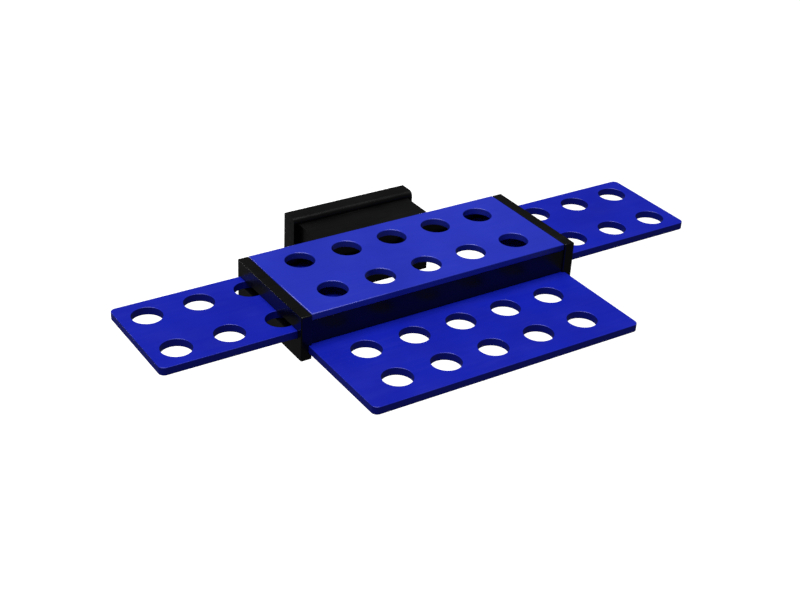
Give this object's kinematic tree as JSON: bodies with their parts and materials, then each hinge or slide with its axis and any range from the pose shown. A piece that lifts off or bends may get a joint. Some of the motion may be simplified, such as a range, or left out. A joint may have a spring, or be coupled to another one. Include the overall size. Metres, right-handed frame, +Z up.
{
  "type": "test tube rack",
  "caption": "Flat blue and black test tube rack with round tube holes, trays that slide out at both ends and at the front, and a hook bracket at the back that hangs it on a wall.",
  "frame": {"origin": "middle of the hook's seat, the underside of the bracket's bridge that rests on top of a wall", "axes": "+X along the rack towards the right tray, +Y from the body towards the hook's jaw, +Z up"},
  "size_m": [0.2544, 0.1271, 0.0296],
  "materials": {
    "blue_plate": "satin gloss",
    "blue_tray": "satin gloss",
    "black_frame": "satin",
    "steel": "plain stainless"
  },
  "bodies": {
    "rack": {"top_plate": "blue_plate", "left_end_plate": "black_frame", "right_end_plate": "black_frame", "front_panel": "black_frame", "back_panel": "black_frame", "front_upper_guide": "black_frame", "back_upper_guide": "black_frame", "front_lower_guide": "black_frame", "back_lower_guide": "black_frame", "frame_dowels": "steel", "deck_dowels": "steel", "hanger_neck": "black_frame", "hanger_jaw": "black_frame", "hanger_screws": "steel", "jaw_screws": "steel"},
    "left_tray": {"left_tray": "blue_tray", "left_tray_pins": "steel"},
    "right_tray": {"right_tray": "blue_tray", "right_tray_pins": "steel"},
    "front_tray": {"front_tray": "blue_tray"}
  },
  "joints": [
    {"name": "left_tray_slide", "type": "slide", "parent": "rack", "child": "left_tray", "axis": [1, 0, 0], "range_m": [-0.0115, 0.045]},
    {"name": "right_tray_slide", "type": "slide", "parent": "rack", "child": "right_tray", "axis": [-1, 0, 0], "range_m": [-0.0015, 0.0286]},
    {"name": "front_tray_slide", "type": "slide", "parent": "rack", "child": "front_tray", "axis": [0, 1, 0], "range_m": [-0.002, 0.036]}
  ]
}
